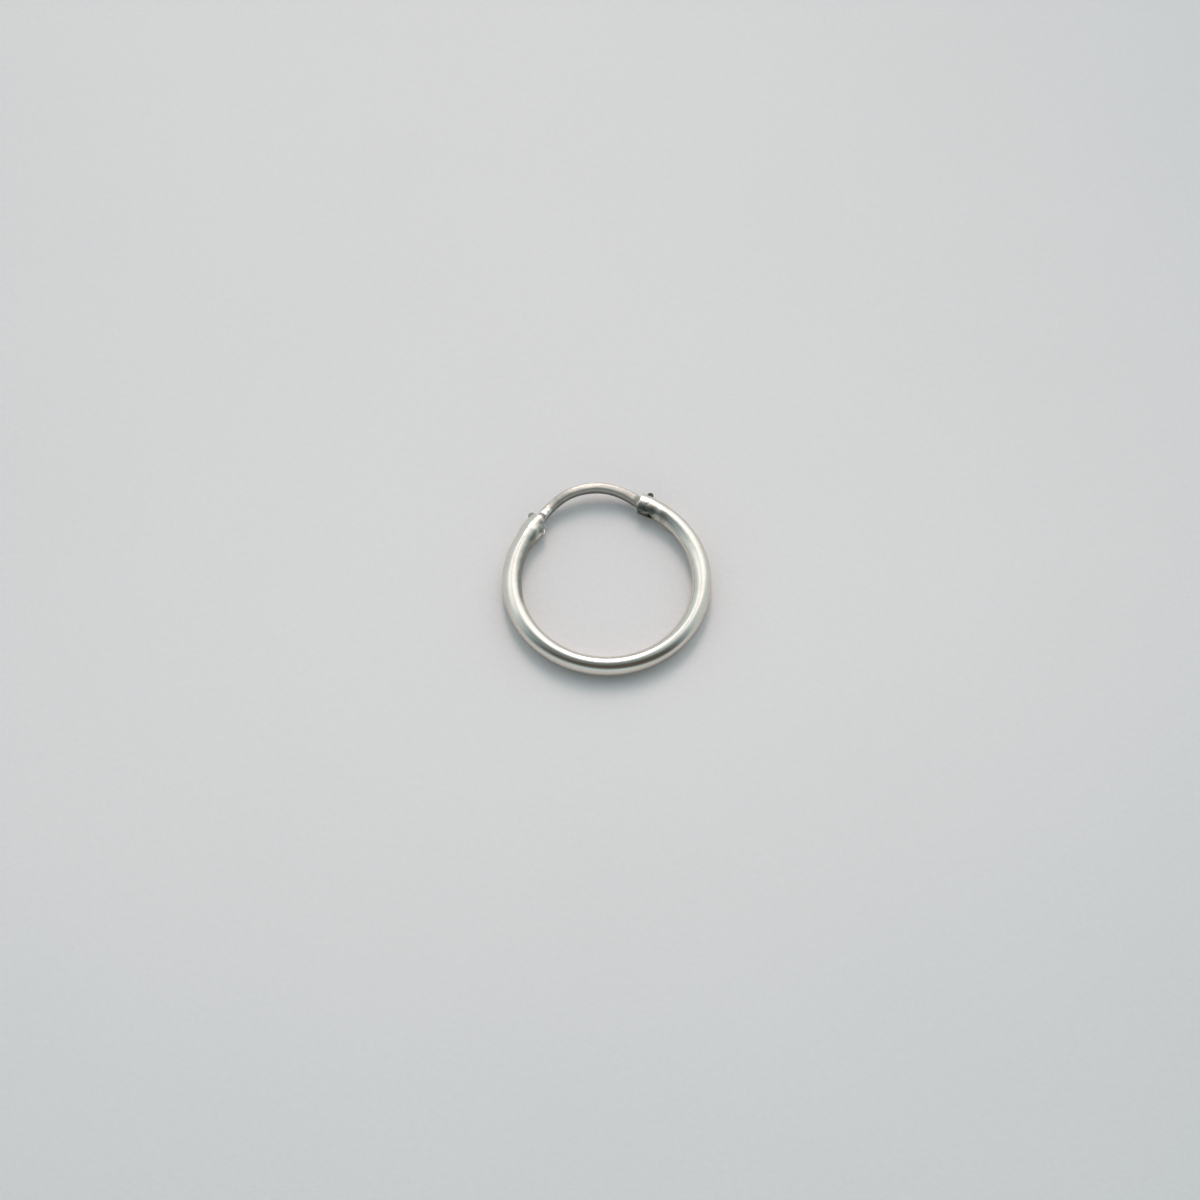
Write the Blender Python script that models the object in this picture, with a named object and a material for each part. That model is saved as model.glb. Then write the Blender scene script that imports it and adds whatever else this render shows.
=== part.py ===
"""Hinged hoop earring: a hollow tube hoop, a bowed ear wire and the pin that the wire turns on.

Metres, +Z up. The hoop lies flat, its axis along +Z and its gap towards +Y. The origin is on the floor
under the middle of the whole piece.
"""

import math

import bmesh
import bpy
from mathutils import Vector

MM = 0.001

# Hoop tube
HOOP_DIAMETER = 14.0 * MM
TUBE_DIAMETER = 1.3 * MM
TUBE_WALL = 0.2 * MM
GAP_ANGLE = math.radians(64.5)

# Forks at the two ends of the tube
FORK_LENGTH = 1.9 * MM
SLOT_CLEARANCE = 0.05 * MM
CATCH_SLOT_LENGTH = 1.0 * MM
MOUTH_OUTER_ROUND = 0.4 * MM
MOUTH_INNER_ROUND = 0.85 * MM

# Hinge
PIN_DIAMETER = 0.36 * MM
PIN_SETBACK = 0.5 * MM
PIN_RUNNING_GAP = 0.03 * MM
PIN_SEAT_GAP = 0.02 * MM
PIN_DOME = 0.04 * MM
OPENING_ANGLE = math.radians(100)

# Ear wire
WIRE_DIAMETER = 0.68 * MM
BOW_RISE = 1.6 * MM
CATCH_OFFSET = 0.12 * MM
HINGE_NECK_WIDTH = 0.76 * MM
CATCH_NECK_WIDTH = 0.64 * MM
NECK_THICKNESS = 0.38 * MM
EYE_THICKNESS = 0.4 * MM
EYE_DIAMETER = 0.9 * MM
SHOULDER_LENGTH = 0.45 * MM
SHOULDER_BLEND = 0.4 * MM
TONGUE_LENGTH = 0.62 * MM
HEEL_NUB_WIDTH = 0.4 * MM
HEEL_NUB_PROUD = 0.16 * MM
THUMB_NUB_WIDTH = 0.42 * MM
THUMB_NUB_SETBACK = 0.28 * MM
THUMB_NUB_PROUD = 0.1 * MM

# How the tube's section changes along each fork. Each row holds the way back from the rim as a share of
# the fork's length, then the width in the hoop's plane and the height across it as shares of the tube's.
HINGE_FORK = (
    # along, width, height
    (0.00, 1.19, 0.84),
    (0.30, 1.17, 0.86),
    (0.65, 1.07, 0.94),
    (1.00, 1.00, 1.00),
)
CATCH_FORK = (
    # along, width, height
    (0.00, 1.23, 0.82),
    (0.30, 1.25, 0.84),
    (0.65, 1.12, 0.93),
    (1.00, 1.00, 1.00),
)

# Mesh fineness
TUBE_SIDES = 24
BORE_SIDES = 12
ARC_SEGMENTS = 56
FORK_STEPS = (0.0, 0.15, 0.3, 0.48, 0.65, 0.82, 1.0)
WIRE_SIDES = 16
BOW_SEGMENTS = 24
BLEND_SEGMENTS = 3
ROUND_SEGMENTS = 24
MOUTH_SEGMENTS = 6

# How far a cutter runs past what it cuts
CUT_MARGIN = 0.3 * MM

TUBE_RADIUS = TUBE_DIAMETER / 2
CENTRE_RADIUS = (HOOP_DIAMETER - TUBE_DIAMETER) / 2
HINGE_RIM_ANGLE = math.pi / 2 - GAP_ANGLE / 2
CATCH_RIM_ANGLE = math.pi / 2 + GAP_ANGLE / 2
SLOT_HEIGHT = EYE_THICKNESS + 2 * SLOT_CLEARANCE


def blend(a, b, share):
    """A smooth step from a to b as share goes from 0 to 1."""
    ease = 0.5 - 0.5 * math.cos(math.pi * min(max(share, 0.0), 1.0))
    return a + (b - a) * ease


def polar(radius, angle):
    """The point at this radius and angle about the hoop's axis."""
    return Vector((radius * math.cos(angle), radius * math.sin(angle), 0.0))


def fork_section(table, share):
    """Half width and half height of the tube at this share of a fork's length."""
    for (near, near_w, near_h), (far, far_w, far_h) in zip(table, table[1:]):
        if share <= far:
            part = (share - near) / (far - near)
            return (
                blend(near_w, far_w, part) * TUBE_RADIUS,
                blend(near_h, far_h, part) * TUBE_RADIUS,
            )
    return TUBE_RADIUS, TUBE_RADIUS


def rim_frame(rim_angle, back_turn):
    """Origin on the rim's centre, the outward direction, and the direction back into the tube."""
    out = polar(1.0, rim_angle)
    back = Vector((-out.y, out.x, 0.0)) * back_turn
    return polar(CENTRE_RADIUS, rim_angle), out, back


def hinge_frame():
    return rim_frame(HINGE_RIM_ANGLE, -1.0)


def catch_frame():
    return rim_frame(CATCH_RIM_ANGLE, 1.0)


def pin_point():
    origin, _, back = hinge_frame()
    return origin + back * PIN_SETBACK


def clear_scene():
    for obj in list(bpy.data.objects):
        bpy.data.objects.remove(obj, do_unlink=True)


def make_material(name, colour, roughness):
    material = bpy.data.materials.new(name)
    material.use_nodes = True
    shader = material.node_tree.nodes["Principled BSDF"]
    shader.inputs["Base Color"].default_value = (*colour, 1.0)
    shader.inputs["Metallic"].default_value = 1.0
    shader.inputs["Roughness"].default_value = roughness
    return material


def add_object(name, mesh_edit, parent, location=(0.0, 0.0, 0.0)):
    """Turns an edited mesh into a linked object, shaded smooth with its edges kept sharp."""
    bmesh.ops.recalc_face_normals(mesh_edit, faces=mesh_edit.faces)
    mesh = bpy.data.meshes.new(name)
    mesh_edit.to_mesh(mesh)
    mesh_edit.free()
    mesh.shade_smooth()
    mesh.set_sharp_from_angle(angle=math.radians(35))
    obj = bpy.data.objects.new(name, mesh)
    bpy.context.scene.collection.objects.link(obj)
    obj.parent = parent
    obj.location = location
    return obj


def add_helper(name, mesh_edit, parent, location=(0.0, 0.0, 0.0)):
    """A shape that only cuts another or is joined to it."""
    obj = add_object(name, mesh_edit, parent, location)
    obj.hide_render = True
    obj.display_type = "WIRE"
    return obj


def combine(obj, helper, operation):
    modifier = obj.modifiers.new(f"{operation.lower()} {helper.name}", "BOOLEAN")
    modifier.operation = operation
    modifier.solver = "EXACT"
    modifier.object = helper


def ring_points(centre, across, half_width, half_height, sides, squareness=1.0):
    """Corners of a rounded section with a flat side facing each way, its flats at the stated half sizes."""
    reach = 1.0 / math.cos(math.pi / sides)
    points = []
    for k in range(sides):
        angle = (k + 0.5) * 2 * math.pi / sides
        c = math.cos(angle) * reach
        s = math.sin(angle) * reach
        x = math.copysign(min(abs(c) ** squareness, reach), c)
        z = math.copysign(min(abs(s) ** squareness, reach), s)
        points.append(centre + across * (x * half_width) + Vector((0.0, 0.0, z * half_height)))
    return points


def loft(rings):
    """A closed tube through the rings, capped at both ends."""
    edit = bmesh.new()
    loops = [[edit.verts.new(point) for point in ring] for ring in rings]
    for near, far in zip(loops, loops[1:]):
        for k in range(len(near)):
            after = (k + 1) % len(near)
            edit.faces.new((near[k], near[after], far[after], far[k]))
    edit.faces.new(list(reversed(loops[0])))
    edit.faces.new(loops[-1])
    bmesh.ops.triangulate(edit, faces=edit.faces)
    return edit


def prism(outline, half_height):
    """A flat plate with this outline, standing half_height above and below the hoop's plane."""
    lift = Vector((0.0, 0.0, half_height))
    return loft([[point - lift for point in outline], [point + lift for point in outline]])


def circle(centre, radius):
    return [
        centre + polar(radius, 2 * math.pi * k / ROUND_SEGMENTS) for k in range(ROUND_SEGMENTS)
    ]


def hull_plate(circles, half_height):
    """A plate whose outline is drawn tight round several circles."""
    edit = bmesh.new()
    lift = Vector((0.0, 0.0, half_height))
    for centre, radius in circles:
        for point in circle(centre, radius):
            edit.verts.new(point - lift)
            edit.verts.new(point + lift)
    made = bmesh.ops.convex_hull(edit, input=edit.verts)
    inside = {v for v in made["geom_interior"] + made["geom_unused"] if v.is_valid}
    bmesh.ops.delete(edit, geom=list(inside), context="VERTS")
    bmesh.ops.dissolve_limit(
        edit, angle_limit=math.radians(1), verts=edit.verts, edges=edit.edges
    )
    return edit


def tube_stations():
    """Angle, half width and half height at each section, from the catch rim round to the hinge rim."""
    turn = FORK_LENGTH / CENTRE_RADIUS
    catch = [
        (CATCH_RIM_ANGLE + share * turn, *fork_section(CATCH_FORK, share)) for share in FORK_STEPS
    ]
    hinge_rim = HINGE_RIM_ANGLE + 2 * math.pi
    hinge = [(hinge_rim - share * turn, *fork_section(HINGE_FORK, share)) for share in FORK_STEPS]
    start = catch[-1][0]
    sweep = hinge[-1][0] - start
    plain = [
        (start + sweep * k / ARC_SEGMENTS, TUBE_RADIUS, TUBE_RADIUS)
        for k in range(1, ARC_SEGMENTS)
    ]
    return catch + plain + hinge[::-1]


def tube_rings(shrink, sides):
    """Sections of the tube, each half size smaller by shrink."""
    return [
        ring_points(
            polar(CENTRE_RADIUS, angle), polar(1.0, angle), width - shrink, height - shrink, sides
        )
        for angle, width, height in tube_stations()
    ]


def bore_rings():
    """The bore's sections, the first and last moved past the rims so that it cuts both ends open."""
    rings = tube_rings(TUBE_WALL, BORE_SIDES)
    _, _, catch_back = catch_frame()
    _, _, hinge_back = hinge_frame()
    rings[0] = [point - catch_back * CUT_MARGIN for point in rings[0]]
    rings[-1] = [point - hinge_back * CUT_MARGIN for point in rings[-1]]
    return rings


def box_outline(frame, half_width, length):
    """Corners of a saw cut that enters at the rim and runs this far back."""
    origin, out, back = frame
    return [
        origin + out * u + back * w
        for u, w in (
            (-half_width, -CUT_MARGIN),
            (half_width, -CUT_MARGIN),
            (half_width, length),
            (-half_width, length),
        )
    ]


def mouth_outline():
    """What is filed off the catch rim to round its mouth, with more taken off the inner corner."""
    origin, out, back = catch_frame()
    half_width = CATCH_FORK[0][1] * TUBE_RADIUS
    edge = half_width + CUT_MARGIN

    def arc(side, depth):
        points = []
        for k in range(MOUTH_SEGMENTS + 1):
            angle = math.pi / 2 * k / MOUTH_SEGMENTS
            points.append((side * half_width * math.sin(angle), depth * (1 - math.cos(angle))))
        return points

    inner = arc(-1.0, MOUTH_INNER_ROUND)
    outer = arc(1.0, MOUTH_OUTER_ROUND)
    corners = [(edge, MOUTH_OUTER_ROUND), (edge, -CUT_MARGIN), (-edge, -CUT_MARGIN)]
    corners.append((-edge, MOUTH_INNER_ROUND))
    path = inner[::-1] + outer[1:] + corners
    return [origin + out * u + back * w for u, w in path]


def heel_reach():
    """How far the heel nub stands from the pin's axis."""
    half_width, _ = fork_section(HINGE_FORK, PIN_SETBACK / FORK_LENGTH)
    return half_width + HEEL_NUB_PROUD


def heel_room():
    """How far behind the pin the heel nub cuts through the tube's wall as it turns in."""
    half_width, _ = fork_section(HINGE_FORK, PIN_SETBACK / FORK_LENGTH)
    reach = math.hypot(heel_reach(), HEEL_NUB_WIDTH / 4)
    bore = half_width - TUBE_WALL
    return math.sqrt(max(reach**2 - bore**2, 0.0))


def neck_room():
    """How far behind the pin the neck's edge comes, at the tube's outer side, with the wire wide open."""
    half_width, _ = fork_section(HINGE_FORK, PIN_SETBACK / FORK_LENGTH)
    _, _, back = hinge_frame()
    _, _, first, _ = bow_curve()
    lift_off = polar(1.0, first + math.pi / 2).angle(-back)
    near = OPENING_ANGLE - math.pi / 2
    far = near + lift_off
    half_neck = HINGE_NECK_WIDTH / 2
    run = half_width - PIN_SETBACK * math.cos(near) + half_neck * math.sin(far)
    return PIN_SETBACK * math.sin(near) + run * math.tan(far) + half_neck * math.cos(far)


def hinge_slot_length():
    return PIN_SETBACK + max(heel_room(), neck_room()) + SLOT_CLEARANCE


def build_hoop(parent):
    """The hollow tube, slotted and filed at its ends and drilled for the pin."""
    hoop = add_object("hoop_tube", loft(tube_rings(0.0, TUBE_SIDES)), parent)
    bore = add_helper("bore_cutter", loft(bore_rings()), parent)
    combine(hoop, bore, "DIFFERENCE")

    slot_width = TUBE_DIAMETER
    cuts = (
        ("hinge_slot_cutter", box_outline(hinge_frame(), slot_width, hinge_slot_length())),
        ("catch_slot_cutter", box_outline(catch_frame(), slot_width, CATCH_SLOT_LENGTH)),
    )
    for name, outline in cuts:
        combine(hoop, add_helper(name, prism(outline, SLOT_HEIGHT / 2), parent), "DIFFERENCE")

    mouth = add_helper("mouth_cutter", prism(mouth_outline(), TUBE_DIAMETER), parent)
    combine(hoop, mouth, "DIFFERENCE")

    hole_radius = PIN_DIAMETER / 2 + PIN_SEAT_GAP
    hole = add_helper(
        "pin_hole_cutter", prism(circle(pin_point(), hole_radius), TUBE_DIAMETER), parent
    )
    combine(hoop, hole, "DIFFERENCE")
    return hoop


def bow_curve():
    """The bow's arc as its centre, radius, first angle and sweep, from the hinge rim to the catch rim."""
    start, _, _ = hinge_frame()
    catch, out, _ = catch_frame()
    end = catch + out * CATCH_OFFSET
    half_chord = (end - start).length / 2
    radius = (half_chord**2 + BOW_RISE**2) / (2 * BOW_RISE)
    along = (end - start).normalized()
    outward = Vector((along.y, -along.x, 0.0))
    centre = (start + end) / 2 + outward * (BOW_RISE - radius)
    first = start - centre
    sweep = 2 * math.asin(half_chord / radius)
    return centre, radius, math.atan2(first.y, first.x), sweep


def wire_length():
    """From the pin's axis along the wire to the tongue's tip."""
    _, radius, _, sweep = bow_curve()
    return PIN_SETBACK + radius * sweep + TONGUE_LENGTH


def wire_point(distance):
    """The wire's centre line at this distance from the pin: straight to the hinge rim, then the bow's arc."""
    centre, radius, first, _ = bow_curve()
    if distance < PIN_SETBACK:
        start, _, back = hinge_frame()
        return start + back * (PIN_SETBACK - distance)
    return centre + polar(radius, first + (distance - PIN_SETBACK) / radius)


def wire_section(distance):
    """Half width, half height and squareness of the wire at this distance from the pin."""
    length = wire_length()
    hinge_flat = PIN_SETBACK + SHOULDER_LENGTH
    catch_flat = TONGUE_LENGTH + SHOULDER_LENGTH
    from_tip = length - distance
    if distance < length / 2:
        past = (distance - hinge_flat) / SHOULDER_BLEND
        neck = HINGE_NECK_WIDTH
        widening = (distance - hinge_flat) / (length / 2 - hinge_flat)
    else:
        past = (from_tip - catch_flat) / SHOULDER_BLEND
        neck = CATCH_NECK_WIDTH
        widening = (from_tip - catch_flat) / (length / 2 - catch_flat)
    return (
        blend(neck, WIRE_DIAMETER, widening) / 2,
        blend(NECK_THICKNESS, WIRE_DIAMETER, past) / 2,
        blend(0.55, 1.0, past),
    )


def wire_distances():
    """Where the wire's sections stand, closer together where it flattens."""
    length = wire_length()
    hinge_flat = PIN_SETBACK + SHOULDER_LENGTH
    catch_flat = length - TONGUE_LENGTH - SHOULDER_LENGTH
    first_blend = [hinge_flat + SHOULDER_BLEND * k / BLEND_SEGMENTS for k in range(BLEND_SEGMENTS)]
    last_blend = [
        catch_flat - SHOULDER_BLEND * k / BLEND_SEGMENTS for k in reversed(range(BLEND_SEGMENTS))
    ]
    start = hinge_flat + SHOULDER_BLEND
    stop = catch_flat - SHOULDER_BLEND
    middle = [start + (stop - start) * k / BOW_SEGMENTS for k in range(BOW_SEGMENTS + 1)]
    neck = [0.0, PIN_SETBACK - SHOULDER_LENGTH / 3, PIN_SETBACK + SHOULDER_LENGTH / 3]
    tongue = [(catch_flat + length) / 2, length]
    return neck + first_blend + middle + last_blend + tongue


def wire_rings():
    """Sections of the ear wire from the eye to the tongue's tip, about the hoop's centre."""
    rings = []
    step = SHOULDER_LENGTH / 3
    for distance in wire_distances():
        ahead = wire_point(distance + step) - wire_point(distance - step)
        ahead.normalize()
        across = Vector((ahead.y, -ahead.x, 0.0))
        width, height, squareness = wire_section(distance)
        rings.append(ring_points(wire_point(distance), across, width, height, WIRE_SIDES, squareness))
    return rings


def thumb_nub_circles():
    """The nub on the tongue that stands out of the catch for a fingernail."""
    origin, out, back = catch_frame()
    root = wire_point(wire_length() - TONGUE_LENGTH + THUMB_NUB_SETBACK)
    radius = THUMB_NUB_WIDTH / 2
    reach = CATCH_FORK[0][1] * TUBE_RADIUS + THUMB_NUB_PROUD - radius
    return [(root, radius), (origin + back * THUMB_NUB_SETBACK + out * reach, radius)]


def build_wire(parent):
    """The bowed wire with its flat eye, heel nub, tongue and thumb nub, its origin on the pin's axis."""
    pin = pin_point()
    rings = [[point - pin for point in ring] for ring in wire_rings()]
    wire = add_object("ear_wire", loft(rings), parent, pin)

    _, out, _ = hinge_frame()
    nub_radius = HEEL_NUB_WIDTH / 2
    eye_circles = [
        (Vector((0.0, 0.0, 0.0)), EYE_DIAMETER / 2),
        (out * (heel_reach() - nub_radius), nub_radius),
    ]
    eye = add_helper("eye_plate", hull_plate(eye_circles, EYE_THICKNESS / 2), parent, pin)
    combine(wire, eye, "UNION")

    tongue_circles = [(centre - pin, radius) for centre, radius in thumb_nub_circles()]
    nub_thickness = (NECK_THICKNESS + EYE_THICKNESS) / 2
    nub = add_helper("thumb_nub", hull_plate(tongue_circles, nub_thickness / 2), parent, pin)
    combine(wire, nub, "UNION")

    hole_radius = PIN_DIAMETER / 2 + PIN_RUNNING_GAP
    hole = add_helper(
        "eye_hole_cutter", prism(circle(Vector(), hole_radius), TUBE_DIAMETER), parent, pin
    )
    combine(wire, hole, "DIFFERENCE")
    return wire


def build_pin(parent):
    """The pin, its domed ends flush with the fork's two jaws."""
    _, jaw_height = fork_section(HINGE_FORK, PIN_SETBACK / FORK_LENGTH)
    shaft = PIN_DIAMETER / 2
    dome = (
        # height above the hoop's plane, radius
        (0.0, shaft),
        (jaw_height - PIN_DOME, shaft),
        (jaw_height - PIN_DOME * 0.4, shaft * 0.8),
        (jaw_height, shaft * 0.35),
    )
    lower = [(-height, radius) for height, radius in dome[:0:-1]]
    rings = [
        [point + Vector((0.0, 0.0, height)) for point in circle(Vector(), radius)]
        for height, radius in [*lower, *dome]
    ]
    return add_object("hinge_pin", loft(rings), parent, pin_point())


def main():
    clear_scene()
    centre, radius, _, _ = bow_curve()
    bow_top = centre.y + radius + WIRE_DIAMETER / 2
    middle = bpy.data.objects.new("hoop_centre", None)
    bpy.context.scene.collection.objects.link(middle)
    middle.location = (0.0, -(bow_top - HOOP_DIAMETER / 2) / 2, TUBE_RADIUS)

    hoop = build_hoop(middle)
    hoop.data.materials.append(make_material("polished_silver", (0.87, 0.87, 0.86), 0.16))
    wire = build_wire(middle)
    wire.data.materials.append(make_material("drawn_silver", (0.85, 0.85, 0.84), 0.2))
    pin = build_pin(middle)
    pin.data.materials.append(make_material("tarnished_silver", (0.6, 0.58, 0.54), 0.35))


main()
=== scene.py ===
"""A hinged silver hoop earring lying on pale card: tube hoop, bowed ear wire and hinge pin."""

import logging
import math
from dataclasses import dataclass
from enum import Enum
from typing import Any, Sequence, Union

import bmesh
import bpy
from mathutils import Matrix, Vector


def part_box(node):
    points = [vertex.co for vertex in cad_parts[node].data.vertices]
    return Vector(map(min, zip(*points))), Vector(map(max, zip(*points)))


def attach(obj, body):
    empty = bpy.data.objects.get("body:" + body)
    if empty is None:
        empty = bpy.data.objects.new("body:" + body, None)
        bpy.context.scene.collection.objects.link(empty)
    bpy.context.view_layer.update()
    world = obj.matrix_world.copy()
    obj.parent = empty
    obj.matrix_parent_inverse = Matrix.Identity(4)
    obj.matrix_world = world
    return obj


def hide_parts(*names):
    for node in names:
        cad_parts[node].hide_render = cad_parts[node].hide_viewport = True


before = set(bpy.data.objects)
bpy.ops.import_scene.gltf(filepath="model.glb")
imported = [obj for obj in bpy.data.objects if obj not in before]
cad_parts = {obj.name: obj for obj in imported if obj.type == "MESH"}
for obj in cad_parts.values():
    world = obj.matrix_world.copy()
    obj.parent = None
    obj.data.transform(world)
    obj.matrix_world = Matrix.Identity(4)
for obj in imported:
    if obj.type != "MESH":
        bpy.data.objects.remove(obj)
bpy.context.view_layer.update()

LOG = logging.getLogger("hoop_earring")
MM = 0.001
CREASE = math.radians(35.0)

Rings = Sequence[Sequence[Vector]]


def ease(share: float) -> float:
    """A smooth step from 0 to 1 as share goes from 0 to 1."""
    return 0.5 - 0.5 * math.cos(math.pi * min(max(share, 0.0), 1.0))


def between(a: float, b: float, share: float) -> float:
    """A smooth step from a to b as share goes from 0 to 1."""
    return a + (b - a) * ease(share)


def polar(radius: float, angle: float) -> Vector:
    """The point at this radius and angle about the hoop's axis."""
    return Vector((radius * math.cos(angle), radius * math.sin(angle), 0.0))


@dataclass(frozen=True)
class Sock:
    """An output socket of a node, which can be written in expressions on values."""

    nodes: "Nodes"
    socket: bpy.types.NodeSocket

    def math(self, operation: str, *values: "Value") -> "Sock":
        """Adds a Math node on these values."""
        return self.nodes.add("ShaderNodeMath", {"operation": operation}, dict(enumerate(values)))

    def __add__(self, other: "Value") -> "Sock":
        """Sum of two values."""
        return self.math("ADD", self, other)

    def __radd__(self, other: "Value") -> "Sock":
        """Sum with a number on the left."""
        return self.math("ADD", other, self)

    def __sub__(self, other: "Value") -> "Sock":
        """Difference of two values."""
        return self.math("SUBTRACT", self, other)

    def __rsub__(self, other: "Value") -> "Sock":
        """Difference from a number on the left."""
        return self.math("SUBTRACT", other, self)

    def __mul__(self, other: "Value") -> "Sock":
        """Product of two values."""
        return self.math("MULTIPLY", self, other)

    def __truediv__(self, other: "Value") -> "Sock":
        """Quotient of two values."""
        return self.math("DIVIDE", self, other)

    def step(self, start: float, end: float) -> "Sock":
        """Rises smoothly from 0 where the value is start to 1 where it is end."""
        span = {"Value": self, "From Min": start, "From Max": end}
        return self.nodes.add("ShaderNodeMapRange", {"interpolation_type": "SMOOTHSTEP"}, span)


Value = Union[Sock, float]
Colour = tuple[float, float, float]
Key = Union[int, str]


@dataclass(frozen=True)
class Pattern:
    """A cloudy pattern: repeats in each unit of length, finer layers, and how strong they are."""

    scale: float
    layers: float
    rough: float = 0.5


CLOUDS = Pattern(0.8, 4.0, 0.6)
GRAIN = Pattern(9.0, 3.0, 0.6)
RAGGED = Pattern(2.2, 4.0, 0.65)
SCRATCHES = Pattern(1.4, 5.0, 0.75)
CARD_CLOUDS = Pattern(60.0, 3.0, 0.6)
CARD_SPECKS = Pattern(2500.0, 2.0, 0.7)


class Nodes:
    """A node tree, to which each node is added by one call."""

    def __init__(self, tree: bpy.types.NodeTree) -> None:
        """Empties the tree.

        Args:
            tree: The node tree of a material or a world.
        """
        self.tree = tree
        tree.nodes.clear()

    @staticmethod
    def find(sockets: Any, key: Key) -> bpy.types.NodeSocket:
        """The shown socket with this place or name."""
        shown = [s for s in sockets if s.enabled]
        return shown[key] if isinstance(key, int) else next(s for s in shown if s.name == key)

    def add(
        self,
        kind: str,
        settings: dict[str, Any] | None = None,
        sockets: dict[Key, Any] | None = None,
        out: Key = 0,
    ) -> Sock:
        """Adds a node.

        Args:
            kind: The node's type.
            settings: What is set on the node first; "stops" holds a ramp's positions and colours.
            sockets: A value or a link for each input, by name or place.
            out: The output that is handed back, by name or place.

        Returns:
            The chosen output.
        """
        node = self.tree.nodes.new(kind)
        for name, value in (settings or {}).items():
            if name == "stops":
                self.set_stops(node.color_ramp, value)
            else:
                setattr(node, name, value)
        for key, value in (sockets or {}).items():
            target = self.find(node.inputs, key)
            if isinstance(value, Sock):
                self.tree.links.new(value.socket, target)
            else:
                target.default_value = value
        return Sock(self, self.find(node.outputs, out) if node.outputs else None)

    @staticmethod
    def set_stops(ramp: bpy.types.ColorRamp, stops: Sequence[tuple[float, Colour]]) -> None:
        """Fills a colour ramp with these positions and colours.

        Args:
            ramp: The ramp of a Color Ramp node.
            stops: Each position and its colour, in order.
        """
        while len(ramp.elements) < len(stops):
            ramp.elements.new(1.0)
        for element, (position, colour) in zip(ramp.elements, stops):
            element.position = position
            element.color = (*colour, 1.0)

    def number(self, value: float) -> Sock:
        """A plain number as a socket."""
        return self.add("ShaderNodeMath", {"operation": "ADD"}, {0: value, 1: 0.0})

    def mix(self, share: Value, first: Any, second: Any) -> Sock:
        """Mixes two colours by a share."""
        sockets = {"Factor": share, "A": self.rgba(first), "B": self.rgba(second)}
        return self.add("ShaderNodeMix", {"data_type": "RGBA"}, sockets)

    @staticmethod
    def rgba(colour: Any) -> Any:
        """Gives a plain colour its fourth number and leaves a socket alone."""
        return colour if isinstance(colour, Sock) else (*colour, 1.0)

    def vector(self, operation: str, *values: Any, out: Key = 0) -> Sock:
        """Adds a Vector Math node on these vectors."""
        return self.add("ShaderNodeVectorMath", {"operation": operation}, dict(enumerate(values)), out)

    def axes(self, vector: Sock) -> tuple[Sock, Sock, Sock]:
        """The three numbers of a vector.

        Args:
            vector: The vector.

        Returns:
            Its x, y and z.
        """
        x = self.add("ShaderNodeSeparateXYZ", None, {0: vector}, "X")
        outputs = x.socket.node.outputs
        return x, Sock(self, outputs["Y"]), Sock(self, outputs["Z"])

    def noise(self, where: Sock, pattern: Pattern) -> Sock:
        """Cloudy noise between 0 and 1.

        Args:
            where: The place.
            pattern: How fine and how rough the noise is.

        Returns:
            The noise's value.
        """
        sockets = {
            "Vector": where,
            "Scale": pattern.scale,
            "Detail": pattern.layers,
            "Roughness": pattern.rough,
        }
        return self.add("ShaderNodeTexNoise", None, sockets)

    def millimetres(self) -> Sock:
        """The place on the piece at rest, in millimetres."""
        place = self.add("ShaderNodeTexCoord", None, None, "Object")
        return self.vector("MULTIPLY", place, (1 / MM,) * 3)


def new_material(name: str) -> tuple[bpy.types.Material, Nodes]:
    """An empty material with nodes.

    Args:
        name: The material's name.

    Returns:
        The material and its nodes.
    """
    material = bpy.data.materials.new(name)
    material.use_nodes = True
    return material, Nodes(material.node_tree)


def finish_material(nodes: Nodes, shader: Sock) -> None:
    """Joins the shader to the material's output."""
    nodes.add("ShaderNodeOutputMaterial", None, {"Surface": shader})


class End(Enum):
    """The two ends of the tube."""

    HINGE = "hinge"
    CATCH = "catch"


@dataclass(frozen=True)
class Section:
    """One row of a fork's shape: how far back it lies, and its size beside the plain tube's."""

    along: float
    width: float
    height: float


@dataclass(frozen=True)
class Fork:
    """A flattened and slotted end of the tube. Lengths are in millimetres."""

    slot_length: float
    sections: tuple[Section, ...]
    inner_round: float = 0.0
    outer_round: float = 0.0
    length: float = 1.9

    def size(self, back: float) -> tuple[float, float]:
        """Width and height beside the plain tube's, this far back from the rim.

        Args:
            back: The way back from the rim.

        Returns:
            Both as shares of the plain tube's diameter.
        """
        share = back / self.length
        for near, far in zip(self.sections, self.sections[1:]):
            if share <= far.along:
                part = (share - near.along) / (far.along - near.along)
                return between(near.width, far.width, part), between(near.height, far.height, part)
        return 1.0, 1.0

    def filed(self, side: float) -> float:
        """How much is filed off the rim, from side -1 at the hoop's inner side to 1 at its outer."""
        depth = self.outer_round if side > 0 else self.inner_round
        return depth * (1 - math.sqrt(max(1 - side * side, 0.0)))

    def root(self, side: float) -> float:
        """Where the slot's root lies on this side, before the rim is filed."""
        cut = self.filed(side)
        return (self.slot_length - cut) / (1 - cut / self.length)


FORKS = {
    End.HINGE: Fork(
        slot_length=1.287,
        sections=(
            Section(0.00, 1.19, 0.84),
            Section(0.30, 1.17, 0.86),
            Section(0.65, 1.07, 0.94),
            Section(1.00, 1.00, 1.00),
        ),
    ),
    End.CATCH: Fork(
        slot_length=1.0,
        sections=(
            Section(0.00, 1.23, 0.82),
            Section(0.30, 1.25, 0.84),
            Section(0.65, 1.12, 0.93),
            Section(1.00, 1.00, 1.00),
        ),
        inner_round=0.85,
        outer_round=0.4,
    ),
}


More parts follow.
